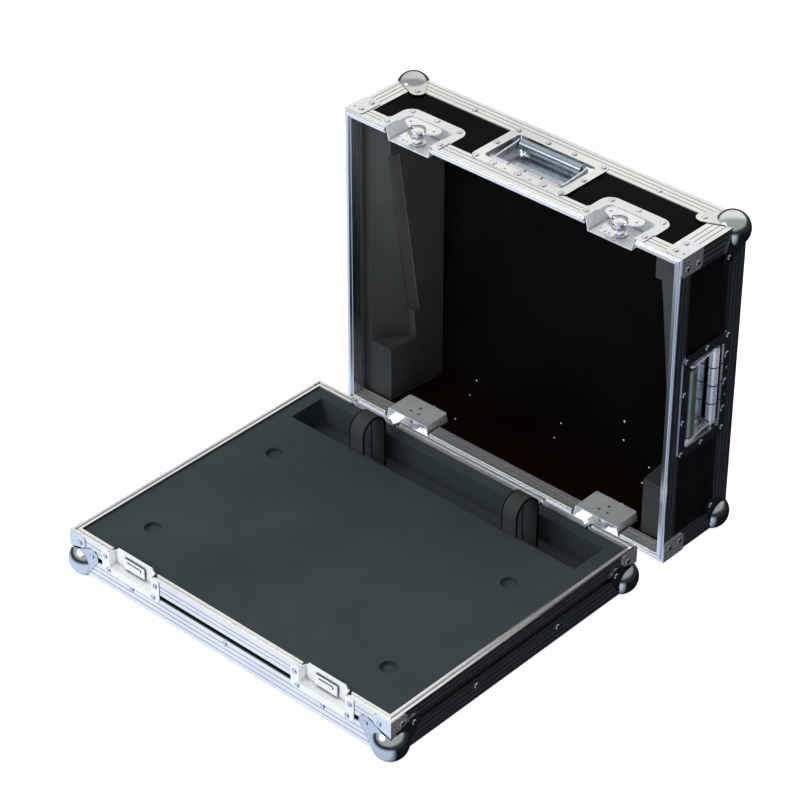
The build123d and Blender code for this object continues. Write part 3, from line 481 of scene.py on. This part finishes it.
dish_rivet_reach = 0.0439
outer_rivet_inset = 0.058
middle_rivet_inset = 0.061
dish_rivet_x = latch_middles[:, None] + np.array([-1, 0, 1]) * dish_rivet_reach
dish_rivet_y = lid_rim_y + np.array([outer_rivet_inset, middle_rivet_inset, outer_rivet_inset])
edge_rivet_middle = 0.004
edge_rivet_spacing = 0.165
edge_rivet_x = edge_rivet_middle + np.array([-1, 0, 1]) * edge_rivet_spacing
edge_rivet_inset = 0.12
wall_places = np.vstack(
    [
        tail_places(dish_rivet_x, dish_rivet_y, wall_high.z, axis=2),
        tail_places(edge_rivet_x, lid_rim_y + edge_rivet_inset, wall_high.z, axis=2),
    ]
)
back_rivet_rise = 0.0265
back_pair_x = 0.1205
back_pair_rises = np.array([0.0518, 0.0852])
back_places = np.vstack(
    [
        tail_places(edge_rivet_x, lid_under_z + back_rivet_rise, back_low.y, axis=1),
        tail_places(back_pair_x, lid_under_z + back_pair_rises, back_low.y, axis=1),
    ]
)
tail_radius = 0.0024
tail_height = 0.0009
tail_domes("lid_wall_rivet_tails", wall_places, 2, 1, tail_radius, tail_height, rivet_steel)
tail_domes("lid_back_rivet_tails", back_places, 1, -1, tail_radius, tail_height, rivet_steel)

dish_back_rise = 0.0202
post_inset = 0.0205
stud_circle = 0.009
stud_radius = 0.0022
stud_height = 0.0005
stud_turns = np.radians([90, 210, 330])
stud_x = latch_middles[:, None] + stud_circle * np.cos(stud_turns)
stud_y = lid_rim_y + post_inset + stud_circle * np.sin(stud_turns)
stud_places = tail_places(stud_x, stud_y, lid_under_z + dish_back_rise, axis=2)
tail_domes("latch_post_studs", stud_places, 2, 1, stud_radius, stud_height, stud_steel)


# Foam bed
# A slab of closed-cell foam fills the tray. Four round seats for a console's feet and a trough at
# the rear are cut into it, and its edges are slightly rounded by the cutter.
foam_grain = {"size": 1300, "roughness": 0.95, "strength": 0.7, "depth": 0.0006, "gloss": 0.03}
bed_foam = dull("bed_foam", deep=(0.046, 0.061, 0.067), pale=(0.066, 0.084, 0.091), **foam_grain)
cut_rounding = 0.0012
cut_crease = 0.6
same_point = 0.00001
same_plane = 0.02


def foam_block(name, node, finish, body):
    """The CAD piece's surface, joined at its corners and cleared of flat seams, with every cut edge
    rounded over."""
    cad = nodes[node].data
    cad.calc_loop_triangles()
    points = np.empty(len(cad.vertices) * 3)
    corners = np.empty(len(cad.loop_triangles) * 3, dtype=np.int32)
    cad.vertices.foreach_get("co", points)
    cad.loop_triangles.foreach_get("vertices", corners)
    mesh = bpy.data.meshes.new(name)
    mesh.from_pydata(points.reshape(-1, 3).tolist(), [], corners.reshape(-1, 3).tolist())
    shell = bmesh.new()
    shell.from_mesh(mesh)
    bmesh.ops.remove_doubles(shell, verts=shell.verts, dist=same_point)
    bmesh.ops.dissolve_limit(shell, angle_limit=same_plane, verts=shell.verts, edges=shell.edges)
    shell.to_mesh(mesh)
    shell.free()
    mesh.shade_smooth()
    mesh.set_sharp_from_angle(angle=cut_crease)
    block = fit(name, mesh, finish, body)
    rounding = block.modifiers.new("rounding", "BEVEL")
    rounding.width = cut_rounding
    rounding.segments = 3
    rounding.limit_method = "ANGLE"
    rounding.angle_limit = cut_crease
    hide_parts(node)


foam_block("tray_foam_bed", "console_foam", bed_foam, "tray")


# Straps
# Two loops of grey webbing stand in the trough, with both ends on its floor. A round black cord is
# sewn along each edge, and it is thicker than the band between them.
strap_band = dull(
    "strap_band",
    deep=(0.058, 0.066, 0.068),
    pale=(0.085, 0.093, 0.095),
    size=900,
    roughness=0.9,
    strength=0.5,
    depth=0.0004,
    gloss=0.05,
)
strap_tree = strap_band.node_tree
strap_surface = strap_tree.nodes["Principled BSDF"]
strap_cloth = strap_surface.inputs["Base Color"].links[0].from_socket
strap_grain = strap_surface.inputs["Normal"].links[0].from_socket
strap_mark = strap_tree.nodes.new("ShaderNodeAttribute")
strap_mark.attribute_name = "edge_cord"
strap_place = strap_tree.nodes.new("ShaderNodeAttribute")
strap_place.attribute_name = "band_place"
strap_colour = colour_run(strap_tree, high=(0.004, 0.004, 0.005))
strap_weave = strap_tree.nodes.new("ShaderNodeTexWave")
strap_weave.inputs["Scale"].default_value = 260.0
strap_weave.inputs["Distortion"].default_value = 1.0
strap_relief = raised(strap_tree, strength=0.4, depth=0.0003)
wire(
    strap_tree,
    (strap_cloth, strap_colour.inputs["A"]),
    (strap_mark.outputs["Fac"], strap_colour.inputs["Factor"]),
    (strap_colour.outputs["Result"], strap_surface.inputs["Base Color"]),
    (strap_place.outputs["Vector"], strap_weave.inputs["Vector"]),
    (strap_weave.outputs["Fac"], strap_relief.inputs["Height"]),
    (strap_grain, strap_relief.inputs["Normal"]),
    (strap_relief.outputs["Normal"], strap_surface.inputs["Normal"]),
)
cord_radius = 0.0013
band_half_thickness = 0.0008
cord_fade = 0.2
end_crease = 1.2
leg_rows = 14
bend_rows = 41
cord_columns = 9
band_columns = 11


def webbing_loop(name, node):
    """A band carried up one leg, round a half circle and down the other. Its outer and inner faces lie a
    half thickness from its middle line, and near each edge they swell to a circle."""
    low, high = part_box(node)
    half_width = (high.x - low.x) / 2
    bend = (high.y - low.y) / 2 - cord_radius
    middle_y = (high.y + low.y) / 2
    bend_z = high.z - cord_radius - bend

    leg = np.linspace(low.z, bend_z, leg_rows, endpoint=False)
    turn = np.linspace(np.pi, 0, bend_rows)
    ones = np.ones(leg_rows)
    out_y = np.concatenate([-ones, np.cos(turn), ones])[:, None]
    out_z = np.concatenate([0 * ones, np.sin(turn), 0 * ones])[:, None]
    line_y = middle_y + bend * out_y
    line_z = np.concatenate([leg, bend_z + bend * np.sin(turn), leg[::-1]])[:, None]

    cord_turn = np.linspace(0, np.pi, cord_columns)
    edge = half_width - cord_radius + cord_radius * np.cos(cord_turn)
    swell = cord_radius * np.sin(cord_turn)
    inner_half = np.where(cord_turn > np.pi / 2, band_half_thickness, 0)
    edge_thick = np.maximum(swell, inner_half)
    field = np.linspace(edge[-1], -edge[-1], band_columns + 2)[1:-1]
    field_thick = np.full(band_columns, band_half_thickness)
    across = np.concatenate([edge, field, -edge[::-1]])
    thick = np.concatenate([edge_thick, field_thick, edge_thick[::-1]])
    round_across = np.concatenate([across, across[::-1][1:-1]])
    round_thick = np.concatenate([thick, -thick[::-1][1:-1]])

    rows, columns = len(line_z), len(round_across)
    points = np.empty((rows, columns, 3))
    points[..., 0] = (low.x + high.x) / 2 + round_across
    points[..., 1] = line_y + out_y * round_thick
    points[..., 2] = line_z + out_z * round_thick
    ends = np.arange(columns) + np.array([[0], [(rows - 1) * columns]])
    mesh = smooth_mesh(name, points, ring_faces(rows, columns).tolist() + ends.tolist())
    mesh.set_sharp_from_angle(angle=end_crease)

    cord_start = half_width - 2 * cord_radius
    cord_share = np.clip((np.abs(round_across) - cord_start) / (cord_fade * cord_radius), 0, 1)
    mark = mesh.attributes.new("edge_cord", "FLOAT", "POINT")
    mark.data.foreach_set("value", np.tile(cord_share, rows).astype(np.float32))
    steps = np.hypot(np.diff(line_y, axis=0), np.diff(line_z, axis=0))
    place = np.zeros((rows, columns, 3), dtype=np.float32)
    place[1:, :, 0] = np.cumsum(steps)[:, None]
    place[..., 1] = round_across
    spot = mesh.attributes.new("band_place", "FLOAT_VECTOR", "POINT")
    spot.data.foreach_set("vector", place.ravel())
    loop = fit(name, mesh, strap_band, "tray")
    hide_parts(node)


webbing_loop("strap_loop_left", "strap_left")
webbing_loop("strap_loop_right", "strap_right")


# Foam cheeks
# Two blocks of the same foam, glued inside the lid's side walls, are cut back to hold a console's
# sides. They look greyer than the bed, as little light falls into the lid.
cheek_foam = dull("cheek_foam", deep=(0.052, 0.056, 0.059), pale=(0.08, 0.084, 0.087), **foam_grain)
foam_block("lid_cheek_left", "lid_foam_left", cheek_foam, "lid")
foam_block("lid_cheek_right", "lid_foam_right", cheek_foam, "lid")


# Floor
# The case stands on a plain white floor.
floor_reach = 6.0
floor_corners = np.array([(-1, -1, 0), (1, -1, 0), (1, 1, 0), (-1, 1, 0)]) * floor_reach
floor_mesh = bpy.data.meshes.new("floor")
floor_mesh.from_pydata(floor_corners.tolist(), [], [(0, 1, 2, 3)])
floor = bpy.data.objects.new("floor", floor_mesh)
scene.collection.objects.link(floor)
floor_paint = bpy.data.materials.new("floor_paint")
floor_paint.use_nodes = True
floor_surface = floor_paint.node_tree.nodes["Principled BSDF"]
floor_surface.inputs["Base Color"].default_value = (0.9, 0.9, 0.9, 1)
floor_surface.inputs["Roughness"].default_value = 0.9
floor_surface.inputs["Emission Color"].default_value = (1, 1, 1, 1)
floor_surface.inputs["Emission Strength"].default_value = 0.8
floor_mesh.materials.append(floor_paint)
floor.visible_glossy = False


# Studio
# The camera sees plain white. The metal mirrors a grey ceiling with a bright patch high at the rear
# left, walls that are pale blue at the front left and near black at the rear right, and a dark band
# at the horizon, which gives the round pieces their contrast.
room = bpy.data.worlds.new("room")
scene.world = room
room.use_nodes = True
room_tree = room.node_tree
room_light = room_tree.nodes["Background"]
room_way = room_tree.nodes.new("ShaderNodeTexCoord")
room_axes = room_tree.nodes.new("ShaderNodeSeparateXYZ")


def toward(way):
    """A node whose value is how far a direction of the room points that way."""
    along = room_tree.nodes.new("ShaderNodeVectorMath")
    along.operation = "DOT_PRODUCT"
    along.inputs[1].default_value = way
    return along


rear_right = toward((0.5, 0.87, 0))
rear_left_up = toward((-0.55, 0.61, 0.57))
wall_side = share(room_tree, -0.2, 0.25)
patch_share = share(room_tree, 0.4, 0.75)
ceiling = colour_run(room_tree, low=(0.42, 0.44, 0.44), high=(0.97, 0.96, 0.92))
walls = colour_run(room_tree, low=(0.64, 0.76, 1.0), high=(0.008, 0.009, 0.012))
ceiling_share = share(room_tree, 0.05, 0.42)
surroundings = colour_run(room_tree)
level = room_tree.nodes.new("ShaderNodeMath")
level.operation = "ABSOLUTE"
above_band = share(room_tree, 0.1, 0.36)
banded = colour_run(room_tree, low=(0.03, 0.035, 0.035))
ray = room_tree.nodes.new("ShaderNodeLightPath")
seen = colour_run(room_tree, high=(1, 1, 1))
wire(
    room_tree,
    (room_way.outputs["Generated"], room_axes.inputs["Vector"]),
    (room_way.outputs["Generated"], rear_right.inputs[0]),
    (room_way.outputs["Generated"], rear_left_up.inputs[0]),
    (rear_right.outputs["Value"], wall_side.inputs["Value"]),
    (wall_side.outputs["Result"], walls.inputs["Factor"]),
    (rear_left_up.outputs["Value"], patch_share.inputs["Value"]),
    (patch_share.outputs["Result"], ceiling.inputs["Factor"]),
    (room_axes.outputs["Z"], ceiling_share.inputs["Value"]),
    (ceiling_share.outputs["Result"], surroundings.inputs["Factor"]),
    (walls.outputs["Result"], surroundings.inputs["A"]),
    (ceiling.outputs["Result"], surroundings.inputs["B"]),
    (room_axes.outputs["Z"], level.inputs[0]),
    (level.outputs["Value"], above_band.inputs["Value"]),
    (above_band.outputs["Result"], banded.inputs["Factor"]),
    (surroundings.outputs["Result"], banded.inputs["B"]),
    (banded.outputs["Result"], seen.inputs["A"]),
    (ray.outputs["Is Camera Ray"], seen.inputs["Factor"]),
    (seen.outputs["Result"], room_light.inputs["Color"]),
)


# Lamp
# A large soft lamp hangs at the front left, above the case.
key_data = bpy.data.lights.new("key", "AREA")
key_data.shape = "ELLIPSE"
key_data.size = 2.2
key_data.size_y = 1.4
key_data.energy = 38
key = bpy.data.objects.new("key", key_data)
key.location = (-1.0, -2.4, 2.1)
key.rotation_euler = (0.94, 0, -0.395)
scene.collection.objects.link(key)


# Camera
# It looks down at the case from the front right, at the photograph's angle. Its place and lens were
# worked out from the case's corners.
camera_data = bpy.data.cameras.new("camera")
camera_data.sensor_width = 36.0
camera_data.lens = 131.57
camera = bpy.data.objects.new("camera", camera_data)
camera.location = (2.2051, -2.4138, 2.5095)
camera.rotation_euler = (0.9666, -0.0004, 0.7416)
scene.collection.objects.link(camera)
scene.camera = camera
scene.view_settings.view_transform = "Standard"
